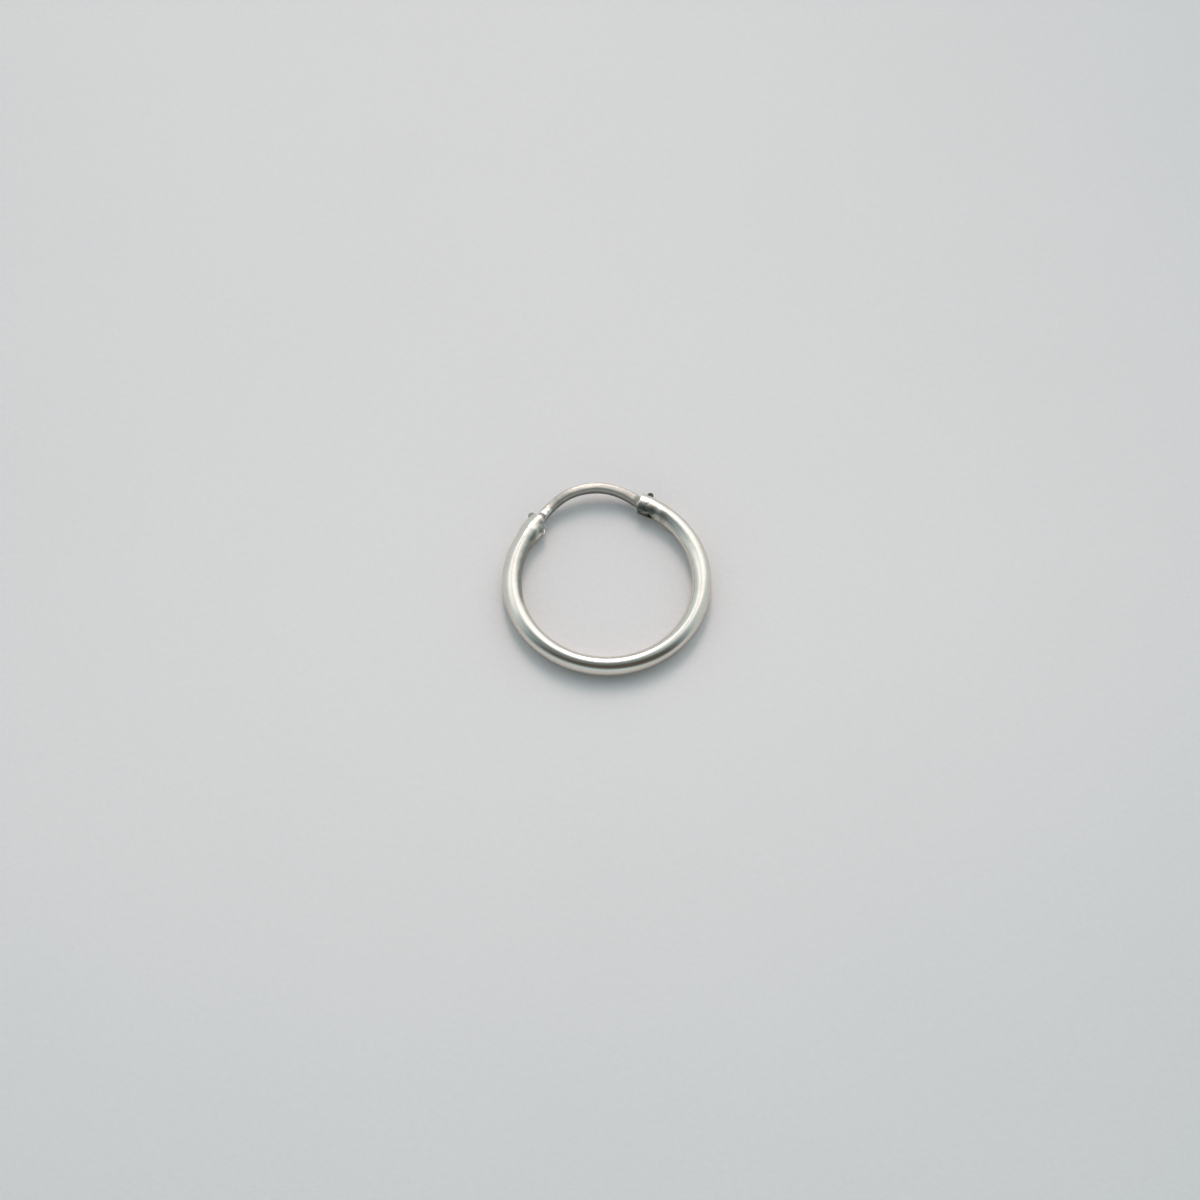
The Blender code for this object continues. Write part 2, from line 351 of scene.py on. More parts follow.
@dataclass
class Layout:
    """What the three pieces share, in millimetres about the hoop's centre."""

    diameter: float = 14.0
    tube: float = 1.3
    gap_angle: float = math.radians(64.5)
    pin_setback: float = 0.5
    pin_diameter: float = 0.36

    @property
    def centre_radius(self) -> float:
        """Radius of the tube's centre line."""
        return (self.diameter - self.tube) / 2

    @property
    def centre(self) -> Vector:
        """The hoop's centre in the frame, in metres."""
        low, high = (Vector(corner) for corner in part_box("hoop_tube"))
        return Vector((0.0, low.y + self.diameter / 2 * MM, (low.z + high.z) / 2))

    def rim_angle(self, end: End) -> float:
        """Where the tube ends, about the hoop's axis."""
        side = -1.0 if end is End.HINGE else 1.0
        return math.pi / 2 + side * self.gap_angle / 2

    def back_turn(self, end: End) -> float:
        """Which way about the axis the tube runs from this end."""
        return -1.0 if end is End.HINGE else 1.0

    def rim(self, end: End) -> tuple[Vector, Vector, Vector]:
        """The rim's centre, the outward direction, and the direction back into the tube.

        Args:
            end: Which end of the tube.

        Returns:
            A place in millimetres and two unit vectors.
        """
        out = polar(1.0, self.rim_angle(end))
        back = Vector((-out.y, out.x, 0.0)) * self.back_turn(end)
        return out * self.centre_radius, out, back

    @property
    def pin(self) -> Vector:
        """The pin's axis in the hoop's plane."""
        origin, _, back = self.rim(End.HINGE)
        return origin + back * self.pin_setback

    def half_size(self, end: End, back: float) -> tuple[float, float]:
        """Half width and half height of the tube, this far back from a rim."""
        width, height = FORKS[end].size(back)
        return width * self.tube / 2, height * self.tube / 2


@dataclass(frozen=True)
class Ground:
    """What a finish is laid on: the layout, the material's nodes, and what they start from.

    place is the place on the piece in millimetres, and ragged is noise that roughens edges.
    """

    layout: Layout
    nodes: Nodes
    place: Sock
    ragged: Sock


@dataclass(frozen=True)
class Spot:
    """A patch on the silver, placed from a rim of the tube. Dark patches are tarnish and painted
    shade; bright ones are wear and a painted highlight.

    back, out and up lead into the tube, out from the hoop, and up. Lengths are in millimetres.
    """

    end: End
    back: float
    out: float
    up: float
    radius: float
    depth: float
    ragged: float = 0.9
    solid: float = 0.45
    faded: float = 1.05

    def mask(self, ground: Ground) -> Sock:
        """How strong the patch is at each place.

        Args:
            ground: What the finish is laid on.

        Returns:
            A value from 0 to the patch's depth.
        """
        rim, out, back = ground.layout.rim(self.end)
        centre = ground.layout.centre / MM + rim + back * self.back + out * self.out
        centre = centre + Vector((0.0, 0.0, self.up))
        away = ground.nodes.vector("DISTANCE", ground.place, tuple(centre), out="Value")
        away = away / self.radius + ground.ragged * self.ragged
        return (1 - away.step(self.solid, self.faded)) * self.depth


@dataclass(frozen=True)
class GrimeBand:
    """A dark band along part of the hoop, where it was hard to polish. Lengths are in millimetres."""

    inset: float
    height: float
    width: float
    towards: float
    reach: float
    depth: float
    ragged: float = 1.1
    solid: float = 0.4
    faded: float = 1.15
    solid_reach: float = 0.55

    def mask(self, ground: Ground) -> Sock:
        """How strong the band is at each place.

        Args:
            ground: What the finish is laid on.

        Returns:
            A value from 0 to the band's depth.
        """
        nodes = ground.nodes
        radius = ground.layout.centre_radius - self.inset
        off = nodes.vector("SUBTRACT", ground.place, tuple(ground.layout.centre / MM))
        x, y, z = nodes.axes(off)
        out = x.math("SQRT", x * x + y * y) - radius
        rise = z - self.height
        away = x.math("SQRT", out * out + rise * rise) / self.width + ground.ragged * self.ragged
        middle = tuple(polar(1 / radius, self.towards))
        along = nodes.vector("DOT_PRODUCT", off, middle, out="Value")
        near = along.step(math.cos(self.reach), math.cos(self.reach * self.solid_reach))
        return (1 - away.step(self.solid, self.faded)) * near * self.depth


@dataclass(frozen=True)
class Silver:
    """A silver finish: its metal, how dull it is, its wear with a painted highlight, and where it is
    darkened by tarnish and by painted shade.

    Lengths are in millimetres, and roughness, depths and shares run from 0 to 1.
    """

    name: str
    colour: Colour = (0.8, 0.735, 0.66)
    dull_colour: Colour = (0.735, 0.66, 0.585)
    rubbed_and_highlight_colour: Colour = (0.95, 0.88, 0.82)
    tarnish_and_shade_colour: Colour = (0.12, 0.128, 0.108)
    cloud_dulling: float = 0.6
    grain_dulling: float = 0.3
    roughness: float = 0.17
    roughness_spread: float = 0.08
    cloud_share: float = 0.6
    rubbed_smoothing: float = 0.15
    tarnish_and_shade_roughening: float = 0.25
    dent_size: float = 0.9
    dent_height: float = 0.004
    pit_size: float = 0.06
    pit_height: float = 0.0007
    scratch_height: float = 0.0009
    scratch_squeeze: float = 14.0
    cloud_edges: tuple[float, float] = (0.35, 0.75)
    grain_edges: tuple[float, float] = (0.3, 0.8)
    scratch_edges: tuple[float, float] = (0.35, 0.65)
    patches: tuple[Spot, ...] = ()
    rubbed_and_highlight: tuple[Spot, ...] = ()
    band: GrimeBand | None = None
    all_over: float = 0.0
    # Painted shade on faces that do not look up.
    underside_shade: float = 0.0
    underside_top: float = 0.7
    underside_ragged: float = 0.3

    @staticmethod
    def spread(spots: Sequence[Spot], ground: Ground) -> Sock:
        """The sum of the patches, which may pass 1 where they meet."""
        return sum((spot.mask(ground) for spot in spots), ground.nodes.number(0.0))

    def tarnish_and_shade(self, ground: Ground) -> Sock:
        """How dark the metal is painted, from 0 to 1, by tarnish and by painted shade.

        Args:
            ground: What the finish is laid on.

        Returns:
            The sum of the patches (tarnish and painted shade), the grime band and the painted
            underside shade, at most 1.
        """
        mask = self.spread(self.patches, ground) + self.all_over
        if self.band:
            mask = mask + self.band.mask(ground)
        # Painted shade: faces are darkened as they turn away from straight up, fully where they face
        # sideways or down.
        if self.underside_shade:
            normal = ground.nodes.add("ShaderNodeTexCoord", None, None, "Normal")
            _, _, up = ground.nodes.axes(normal)
            up = up + ground.ragged * self.underside_ragged
            mask = mask + (1 - up.step(0.0, self.underside_top)) * self.underside_shade
        return mask.math("MINIMUM", mask, 1.0)

    def relief(self, ground: Ground) -> Sock:
        """The height of dents, scratches and pits over the true surface, in millimetres.

        Args:
            ground: What the finish is laid on.

        Returns:
            The height.
        """
        nodes, place = ground.nodes, ground.place
        dents = nodes.noise(place, Pattern(1 / self.dent_size, 1.0)) * self.dent_height
        pits = nodes.noise(place, Pattern(1 / self.pit_size, 3.0, 0.6)) * self.pit_height
        squeezed = nodes.vector("MULTIPLY", place, (1.0, 1.0, self.scratch_squeeze))
        scratches = nodes.noise(squeezed, SCRATCHES).step(*self.scratch_edges)
        return dents + pits + scratches * self.scratch_height

    def build(self, layout: Layout) -> bpy.types.Material:
        """Makes the material.

        Args:
            layout: What the three pieces share.

        Returns:
            The material, which follows the piece as it moves.
        """
        material, nodes = new_material(self.name)
        place = nodes.millimetres()
        cloud = nodes.noise(place, CLOUDS)
        grain = nodes.noise(place, GRAIN)
        ground = Ground(layout, nodes, place, nodes.noise(place, RAGGED) - 0.5)
        dull = cloud.step(*self.cloud_edges) * self.cloud_dulling
        dull = dull + grain.step(*self.grain_edges) * self.grain_dulling
        metal = nodes.mix(dull, self.colour, self.dull_colour)
        unevenness = cloud * self.cloud_share + grain * (1 - self.cloud_share) - 0.5
        roughness = self.roughness + unevenness * self.roughness_spread
        # Painted highlight: the rubbed patches lighten the colour as well as smooth the metal.
        bright = self.spread(self.rubbed_and_highlight, ground)
        metal = nodes.mix(bright, metal, self.rubbed_and_highlight_colour)
        roughness = roughness - bright * self.rubbed_smoothing
        # Tarnish and painted shade darken the colour and roughen the metal.
        dark = self.tarnish_and_shade(ground)
        colour = nodes.mix(dark, metal, self.tarnish_and_shade_colour)
        roughness = roughness + dark * self.tarnish_and_shade_roughening
        relief = {"Distance": MM, "Height": self.relief(ground)}
        bump = nodes.add("ShaderNodeBump", None, relief)
        sockets = {"Base Color": colour, "Metallic": 1.0, "Roughness": roughness, "Normal": bump}
        finish_material(nodes, nodes.add("ShaderNodeBsdfPrincipled", None, sockets))
        return material


@dataclass(frozen=True)
class Card:
    """The pale card that the earring lies on, with a painted light falloff: darker and cooler in front
    of it, to the right and out to the sides.
    """

    colour: Colour = (0.944, 0.91, 0.911)
    edge_colour: Colour = (0.885, 0.903, 0.915)
    edge_fall: float = 0.15
    fall_reach: float = 0.06
    near_fall: float = 0.12
    right_fall: float = 0.015
    side_fall: float = 22.0
    cloud_depth: float = 0.03
    speck_depth: float = 0.05
    grain_height: float = 0.00002
    roughness: float = 0.9
    specular: float = 0.1

    def build(self) -> bpy.types.Material:
        """Makes the material, which follows the card's own place in metres.

        Returns:
            The material.
        """
        material, nodes = new_material("pale_card")
        place = nodes.add("ShaderNodeTexCoord", None, None, "Object")
        x, y, _ = nodes.axes(place)
        # Painted light falloff: darker in front of the earring, to the right and out to the sides, and
        # cooler as it darkens.
        painted_falloff = (y * -1.0).step(0.0, self.fall_reach) * self.near_fall
        painted_falloff = painted_falloff + x.step(0.0, self.fall_reach) * self.right_fall + x * x * self.side_fall
        cloud = nodes.noise(place, CARD_CLOUDS) - 0.5
        speck = nodes.noise(place, CARD_SPECKS)
        shade = 1 - painted_falloff + cloud * self.cloud_depth + (speck - 0.5) * self.speck_depth
        tint = nodes.mix(painted_falloff / self.edge_fall, self.colour, self.edge_colour)
        scale = {"operation": "SCALE"}
        colour = nodes.add("ShaderNodeVectorMath", scale, {"Vector": tint, "Scale": shade})
        bump = nodes.add("ShaderNodeBump", None, {"Distance": self.grain_height, "Height": speck})
        sockets = {
            "Base Color": colour,
            "Roughness": self.roughness,
            "Specular IOR Level": self.specular,
            "Normal": bump,
        }
        finish_material(nodes, nodes.add("ShaderNodeBsdfPrincipled", None, sockets))
        return material


def mesh_piece(name: str, edit: bmesh.types.BMesh) -> bpy.types.Object:
    """Turns an edited mesh into an object, smooth but for its sharp edges.

    Args:
        name: The object's name.
        edit: The mesh, which is used up.

    Returns:
        The linked object.
    """
    bmesh.ops.recalc_face_normals(edit, faces=edit.faces)
    mesh = bpy.data.meshes.new(name)
    edit.to_mesh(mesh)
    edit.free()
    mesh.shade_smooth()
    mesh.set_sharp_from_angle(angle=CREASE)
    piece = bpy.data.objects.new(name, mesh)
    bpy.context.scene.collection.objects.link(piece)
    return piece


def settle(piece: bpy.types.Object) -> None:
    """Applies the piece's modifiers.

    Args:
        piece: The piece, which gets a new mesh.
    """
    graph = bpy.context.evaluated_depsgraph_get()
    done = bpy.data.meshes.new_from_object(piece.evaluated_get(graph), depsgraph=graph)
    piece.modifiers.clear()
    old = piece.data
    piece.data = done
    done.name = piece.name
    bpy.data.meshes.remove(old)


def place_piece(piece: bpy.types.Object, centre: Vector) -> None:
    """Turns millimetres about the hoop's centre into metres in the frame, in the mesh itself.

    Args:
        piece: The piece.
        centre: The hoop's centre, in metres.
    """
    for vertex in piece.data.vertices:
        vertex.co = vertex.co * MM + centre
    piece.data.update()


def combine(piece: bpy.types.Object, helper: bpy.types.Object, operation: str) -> None:
    """Cuts the helper from the piece or joins it on, and removes the helper.

    Args:
        piece: The piece that stays.
        helper: The closed mesh that is used up.
        operation: DIFFERENCE or UNION.
    """
    step = piece.modifiers.new(operation.lower(), "BOOLEAN")
    step.operation = operation
    step.solver = "EXACT"
    step.object = helper
    settle(piece)
    bpy.data.objects.remove(helper, do_unlink=True)


def loft(rings: Rings) -> bmesh.types.BMesh:
    """A closed tube through the rings, capped at both ends.

    Args:
        rings: The points round each section, as many in each.

    Returns:
        The mesh.
    """
    edit = bmesh.new()
    loops = [[edit.verts.new(point) for point in ring] for ring in rings]
    for near, far in zip(loops, loops[1:]):
        for k, corner in enumerate(near):
            after = (k + 1) % len(near)
            edit.faces.new((corner, near[after], far[after], far[k]))
    edit.faces.new(loops[0][::-1])
    edit.faces.new(loops[-1])
    return edit


def circle(centre: Vector, radius: float, sides: int = 48) -> list[Vector]:
    """Points round a level circle."""
    return [centre + polar(radius, 2 * math.pi * k / sides) for k in range(sides)]


def post(centre: Vector, radius: float, half_height: float) -> bmesh.types.BMesh:
    """A round post that stands through the hoop's plane."""
    lift = Vector((0.0, 0.0, half_height))
    return loft([[point + side * lift for point in circle(centre, radius)] for side in (-1, 1)])


def plate(circles: Sequence[tuple[Vector, float]], half_height: float) -> bmesh.types.BMesh:
    """A level plate whose outline is drawn tight round several circles.

    Args:
        circles: Each circle's centre and radius.
        half_height: Half the plate's thickness.

    Returns:
        The mesh.
    """
    edit = bmesh.new()
    lift = Vector((0.0, 0.0, half_height))
    for centre, radius in circles:
        for point in circle(centre, radius):
            edit.verts.new(point - lift)
            edit.verts.new(point + lift)
    made = bmesh.ops.convex_hull(edit, input=edit.verts)
    inside = {v for v in made["geom_interior"] + made["geom_unused"] if v.is_valid}
    bmesh.ops.delete(edit, geom=list(inside), context="VERTS")
    return edit


# Dark patches at the forks, partly tarnish and partly painted light: the hinge's inner side is
# darkened as a painted dark reflection, the catch's top and inner half are dimmed to narrow its
# highlight, and the lower inner corners of both rims are darkened as painted shade.
TUBE_GRIME_AND_SHADE = (
    Spot(End.HINGE, back=0.3, out=-0.5, up=0.21, radius=0.55, depth=0.9),
    Spot(End.HINGE, back=1.0, out=-0.45, up=0.3, radius=0.6, depth=0.9),
    Spot(End.HINGE, back=1.9, out=-0.5, up=0.3, radius=0.6, depth=0.6),
    Spot(End.CATCH, back=0.15, out=-0.2, up=0.54, radius=0.4, depth=0.4, ragged=0.2),
    Spot(End.CATCH, back=0.5, out=-0.05, up=0.54, radius=0.5, depth=0.25, ragged=0.2),
    Spot(End.CATCH, back=0.35, out=-0.6, up=0.3, radius=0.6, depth=0.26, ragged=0.2),
    Spot(End.CATCH, back=1.4, out=-0.45, up=0.45, radius=0.6, depth=0.34, ragged=0.4),
    Spot(End.CATCH, back=0.0, out=-0.7, up=-0.27, radius=0.3, depth=0.55, ragged=0.3),
    Spot(End.HINGE, back=0.0, out=-0.6, up=-0.39, radius=0.3, depth=0.6),
)
# Painted shade on the wire: the heel nub and the thumb nub, which sit low beside the forks, and the
# spot where the wire enters the hinge rim.
WIRE_SHADE = (
    Spot(End.HINGE, back=0.5, out=0.9, up=0.0, radius=0.6, depth=1.0),
    Spot(End.HINGE, back=0.0, out=0.0, up=0.0, radius=0.5, depth=0.25),
    Spot(End.CATCH, back=0.28, out=0.85, up=0.0, radius=0.5, depth=0.6, ragged=0.3),
)
# Painted highlight: the flat facet just outside the catch is painted near white, and its metal is
# smoothed as a rubbed spot.
WIRE_FACET_HIGHLIGHT = (
    Spot(End.CATCH, back=-0.3, out=0.1, up=0.34, radius=0.45, depth=1.0, ragged=0.4),
    Spot(End.CATCH, back=-0.7, out=0.05, up=0.34, radius=0.35, depth=1.0, ragged=0.4),
)
TUBE_BAND = GrimeBand(
    inset=0.57,
    height=0.3,
    width=0.36,
    towards=math.radians(160.0),
    reach=math.radians(31.0),
    depth=0.62,
)
POLISHED = Silver("polished_silver", patches=TUBE_GRIME_AND_SHADE, band=TUBE_BAND, underside_shade=0.22)
BORE = Silver("bore_silver", roughness=0.45, all_over=0.35)
DRAWN = Silver(
    "drawn_silver",
    colour=(0.6, 0.56, 0.515),
    dull_colour=(0.44, 0.41, 0.365),
    roughness=0.48,
    dent_size=0.3,
    dent_height=0.022,
    pit_height=0.004,
    scratch_height=0.003,
    patches=WIRE_SHADE,
    rubbed_and_highlight=WIRE_FACET_HIGHLIGHT,
    underside_shade=0.62,
)
# The pin takes the same fork patches of tarnish and painted shade.
RIVET = Silver("pin_silver", roughness=0.25, patches=TUBE_GRIME_AND_SHADE)


@dataclass
class HoopTube:
    """The round hollow tube, bent to a hoop, with a fork at each end. Lengths are in millimetres."""

    layout: Layout
    wall: float = 0.2
    slot_height: float = 0.5
    pin_seat_gap: float = 0.006
    edge_round: float = 0.022
    plain_step: float = 0.15
    fork_step: float = 0.075
    jaw_cells: int = 34
    window_cells: int = 12
    sharp_angle: float = math.radians(40.0)
    edge_steps: int = 2

    def stations(self) -> list[tuple[End, float]]:
        """Sections of the tube as an end and the way back from it, from the catch to the hinge.

        Returns:
            Each section's nearer end and its way back, closer together in the forks.
        """
        lay = self.layout
        run = (2 * math.pi - lay.gap_angle) * lay.centre_radius / 2
        half: dict[End, list[float]] = {}
        for end, fork in FORKS.items():
            marks = self.root_marks(end)
            count = round(fork.length / self.fork_step)
            steps = [fork.length * k / count for k in range(count + 1)]
            clear = self.fork_step / 2
            steps = [s for s in steps if all(abs(s - m) > clear for m in marks) or s == 0.0]
            plain = round((run - fork.length) / self.plain_step)
            far = [fork.length + (run - fork.length) * k / plain for k in range(1, plain + 1)]
            half[end] = sorted(steps + marks) + far
        catch = [(End.CATCH, back) for back in half[End.CATCH]]
        hinge = [(End.HINGE, back) for back in half[End.HINGE][:-1]]
        return catch + hinge[::-1]

    def root_marks(self, end: End) -> list[float]:
        """Where the slot's root lies on the inner and outer sides, before the rim is filed."""
        return sorted({FORKS[end].root(side) for side in (-1.0, 1.0)})

    def turns(self, half_height: float) -> list[float]:
        """Angles round one section, with a line along each edge of the slots.

        Args:
            half_height: Half the section's height.

        Returns:
            The angles, from the outer slot's lower edge.
        """
        window = math.asin(self.slot_height / 2 / half_height)
        starts = (-window, window, math.pi - window, math.pi + window, 2 * math.pi - window)
        cells = (self.window_cells, self.jaw_cells) * 2
        angles = []
        for start, stop, count in zip(starts, starts[1:], cells):
            angles += [start + (stop - start) * k / count for k in range(count)]
        return angles

    def ring(self, end: End, back: float, shrink: float) -> list[Vector]:
        """The points round one section of the outside, or of the bore if it shrinks by the wall.

        Args:
            end: The nearer end of the tube.
            back: The way back from that end.
            shrink: How far inside the tube's surface the points lie.

        Returns:
            The points.
        """
        lay = self.layout
        fork = FORKS[end]
        width, height = lay.half_size(end, back)
        points = []
        for turn in self.turns(height - shrink):
            side = (width - shrink) / width * math.cos(turn)
            moved = back
            if back < fork.length:
                moved = back + fork.filed(side) * (1 - back / fork.length)
            moved_width, _ = lay.half_size(end, moved)
            angle = lay.rim_angle(end) + lay.back_turn(end) * moved / lay.centre_radius
            out = lay.centre_radius + (moved_width - shrink) * math.cos(turn)
            rise = (height - shrink) * math.sin(turn)
            points.append(polar(out, angle) + Vector((0.0, 0.0, rise)))
        return points

    def build(self) -> bpy.types.Object:
        """Makes the tube and dresses it.

        Returns:
            The piece, in place of the plain one.
        """
        edit = bmesh.new()
        stations = self.stations()
        outside = [[edit.verts.new(p) for p in self.ring(*s, 0.0)] for s in stations]
        inside = [[edit.verts.new(p) for p in self.ring(*s, self.wall)] for s in stations]
        self.skin(edit, stations, outside, inside)
        self.soften(edit)
        piece = mesh_piece("hoop_tube_polished", edit)
        lay = self.layout
        for finish in (POLISHED, BORE):
            piece.data.materials.append(finish.build(lay))
        seat = post(lay.pin, lay.pin_diameter / 2 + self.pin_seat_gap, lay.tube)
        combine(piece, mesh_piece("pin_seat", seat), "DIFFERENCE")
        piece.data.set_sharp_from_angle(angle=CREASE)
        place_piece(piece, lay.centre)
        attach(piece, "hoop")
        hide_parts("hoop_tube")
        return piece

    def cut_away(self, stations: Sequence[tuple[End, float]], row: int, cell: int) -> bool:
        """Whether the slot takes away the cell between this row and the next.

        Args:
            stations: The tube's sections.
            row: The nearer section's place in the list.
            cell: The cell's place round the tube.

        Returns:
            True where the tube is open.
        """
        ring_cells = self.window_cells + self.jaw_cells
        if cell % ring_cells >= self.window_cells:
            return False
        side = 1.0 if cell < self.window_cells else -1.0
        ends = stations[row], stations[row + 1]
        if ends[0][0] is not ends[1][0]:
            return False
        end = ends[0][0]
        back = max(ends[0][1], ends[1][1])
        return back < FORKS[end].root(side) + self.fork_step / 10

    def skin(
        self,
        edit: bmesh.types.BMesh,
        stations: Sequence[tuple[End, float]],
        outside: Sequence[Sequence[bmesh.types.BMVert]],
        inside: Sequence[Sequence[bmesh.types.BMVert]],
    ) -> None:
        """Adds the outside, the bore, and the walls that join them round the rims and slots.

        Args:
            edit: The mesh.
            stations: The tube's sections.
            outside: The points of the outside, a ring for each section.
            inside: The points of the bore, a ring for each section.
        """
        sides = len(outside[0])
        rows = len(stations) - 1
        gone = [[self.cut_away(stations, i, k) for k in range(sides)] for i in range(rows)]
        shut = [[True] * sides]
        for i, (row, after) in enumerate(zip([*shut, *gone], [*gone, *shut])):
            for k in range(sides):
                k2 = (k + 1) % sides
                if row[k] != after[k]:
                    edit.faces.new((outside[i][k], outside[i][k2], inside[i][k2], inside[i][k]))
        for i, row in enumerate(gone):
            for k in range(sides):
                k2 = (k + 1) % sides
                if row[k - 1] != row[k]:
                    edit.faces.new(
                        (outside[i][k], outside[i + 1][k], inside[i + 1][k], inside[i][k])
                    )
                if row[k]:
                    continue
                edit.faces.new(
                    (outside[i][k], outside[i][k2], outside[i + 1][k2], outside[i + 1][k])
                )
                face = edit.faces.new(
                    (inside[i][k], inside[i + 1][k], inside[i + 1][k2], inside[i][k2])
                )
                face.material_index = 1
        edit.verts.ensure_lookup_table()
        loose = [v for v in edit.verts if not v.link_faces]
        bmesh.ops.delete(edit, geom=loose, context="VERTS")

    def soften(self, edit: bmesh.types.BMesh) -> None:
        """Rounds the edges of the rims and slots a little.

        Args:
            edit: The tube's mesh.
        """
        bmesh.ops.recalc_face_normals(edit, faces=edit.faces)
        sharp = [e for e in edit.edges if e.calc_face_angle(0.0) > self.sharp_angle]
        bmesh.ops.bevel(
            edit,
            geom=sharp,
            offset=self.edge_round,
            offset_type="OFFSET",
            segments=self.edge_steps,
            profile=0.5,
            affect="EDGES",
            clamp_overlap=False,
        )


@dataclass
class EarWire:
    """The bowed wire, hammered flat to an eye at the hinge and to a tongue at the catch.

    Lengths are in millimetres.
    """

    layout: Layout
    diameter: float = 0.68
    bow_rise: float = 1.6
    catch_offset: float = 0.12
    hinge_neck_width: float = 0.76
    catch_neck_width: float = 0.64
    neck_thickness: float = 0.38
    neck_squareness: float = 0.55
    eye_thickness: float = 0.4
    eye_diameter: float = 0.9
    eye_inner_reach: float = 0.2
    wire_squareness: float = 0.7
    bow_lift: float = 0.3
    hinge_lift_run: float = 3.2
    catch_lift_run: float = 2.3
    facet_length: float = 0.85
    rounding_share: float = 1.5
    hinge_shoulder: float = 0.03
    hinge_blend: float = 0.5
    catch_shoulder: float = 0.02
    catch_blend: float = 0.35
    tongue_length: float = 0.62
    heel_nub_width: float = 0.44
    heel_nub_proud: float = 0.18
    thumb_nub_width: float = 0.46
    thumb_nub_setback: float = 0.28
    thumb_nub_proud: float = 0.13
    pin_running_gap: float = 0.03
    sides: int = 64
    step: float = 0.05
    grain: float = 0.02
    softening: int = 6
    softening_share: float = 0.5

    def bow(self) -> tuple[Vector, float, float, float]:
        """The bow's arc as its centre, radius, first angle and sweep, from the hinge rim on.

        Returns:
            The arc through both rims that rises as far as it should between them.
        """
        start, _, _ = self.layout.rim(End.HINGE)
        catch, out, _ = self.layout.rim(End.CATCH)
        end = catch + out * self.catch_offset
        half_chord = (end - start).length / 2
        radius = (half_chord**2 + self.bow_rise**2) / (2 * self.bow_rise)
        along = (end - start).normalized()
        outward = Vector((along.y, -along.x, 0.0))
        centre = (start + end) / 2 + outward * (self.bow_rise - radius)
        first = start - centre
        return centre, radius, math.atan2(first.y, first.x), 2 * math.asin(half_chord / radius)

    @property
    def length(self) -> float:
        """From the pin's axis along the wire to the tongue's tip."""
        _, radius, _, sweep = self.bow()
        return self.layout.pin_setback + radius * sweep + self.tongue_length

    def point(self, distance: float) -> Vector:
        """The centre line at this distance from the pin.

        Args:
            distance: The way along the wire.

        Returns:
            The point, level in the forks and lifted between.
        """
        centre, radius, first, _ = self.bow()
        setback = self.layout.pin_setback
        if distance < setback:
            start, _, back = self.layout.rim(End.HINGE)
            return start + back * (setback - distance)
        outside = distance - setback
        left = self.length - self.tongue_length - distance
        past_facet = (left - self.facet_length) / self.catch_lift_run
        lift = ease(outside / self.hinge_lift_run) * ease(past_facet)
        level = centre + polar(radius, first + outside / radius)
        return level + Vector((0.0, 0.0, self.bow_lift * lift))

    def section(self, distance: float) -> tuple[float, float, float]:
        """Half width, half height and squareness at this distance from the pin.

        Args:
            distance: The way along the wire.

        Returns:
            Two lengths, and the power that squares the section: 1 is round.
        """
        half = self.length / 2
        if distance < half:
            run = distance
            flat = self.layout.pin_setback + self.hinge_shoulder
            blend = self.hinge_blend
            neck = self.hinge_neck_width
        else:
            run = self.length - distance
            flat = self.tongue_length + self.catch_shoulder
            blend = self.catch_blend
            neck = self.catch_neck_width
        past = (run - flat) / blend
        widening = (run - flat) / (half - flat)
        rounding = (run - flat) / (self.facet_length * self.rounding_share)
        return (
            between(neck, self.diameter, widening) / 2,
            between(self.neck_thickness, self.diameter, past) / 2,
            between(self.neck_squareness, self.wire_squareness, rounding),
        )

    def rings(self) -> list[list[Vector]]:
        """The points round each section, from the eye to the tongue's tip.

        Returns:
            A ring of points for each section.
        """
        rings = []
        count = round(self.length / self.step)
        for k in range(count + 1):
            distance = self.length * k / count
            ahead = self.point(distance + self.step) - self.point(distance - self.step)
            across = Vector((ahead.y, -ahead.x, 0.0)).normalized()
            width, height, squareness = self.section(distance)
            ring = []
            for j in range(self.sides):
                turn = 2 * math.pi * j / self.sides
                c, s = math.cos(turn), math.sin(turn)
                x = math.copysign(abs(c) ** squareness, c) * width
                z = math.copysign(abs(s) ** squareness, s) * height
                ring.append(self.point(distance) + across * x + Vector((0.0, 0.0, z)))
            rings.append(ring)
        return rings

    def build(self) -> bpy.types.Object:
        """Makes the ear wire with its eye, heel nub, tongue and thumb nub, and dresses it.

        Returns:
            The piece, in place of the plain one.
        """
        lay = self.layout
        piece = mesh_piece("ear_wire_drawn", loft(self.rings()))

        _, out, _ = lay.rim(End.HINGE)
        width, _ = lay.half_size(End.HINGE, lay.pin_setback)
        nub = self.heel_nub_width / 2
        heel = lay.pin + out * (width + self.heel_nub_proud - nub)
        inner = lay.pin - out * self.eye_inner_reach
        rounds = [(lay.pin, self.eye_diameter / 2), (inner, self.eye_diameter / 2), (heel, nub)]
        eye = plate(rounds, self.eye_thickness / 2)
        combine(piece, mesh_piece("eye_plate", eye), "UNION")

        origin, out, back = lay.rim(End.CATCH)
        width, _ = lay.half_size(End.CATCH, 0.0)
        nub = self.thumb_nub_width / 2
        root = self.point(self.length - self.tongue_length + self.thumb_nub_setback)
        tip = origin + back * self.thumb_nub_setback + out * (width + self.thumb_nub_proud - nub)
        thickness = (self.neck_thickness + self.eye_thickness) / 2
        thumb = plate([(root, nub), (tip, nub)], thickness / 2)
        combine(piece, mesh_piece("thumb_nub", thumb), "UNION")

        hole = post(lay.pin, lay.pin_diameter / 2 + self.pin_running_gap, lay.tube)
        combine(piece, mesh_piece("eye_hole", hole), "DIFFERENCE")

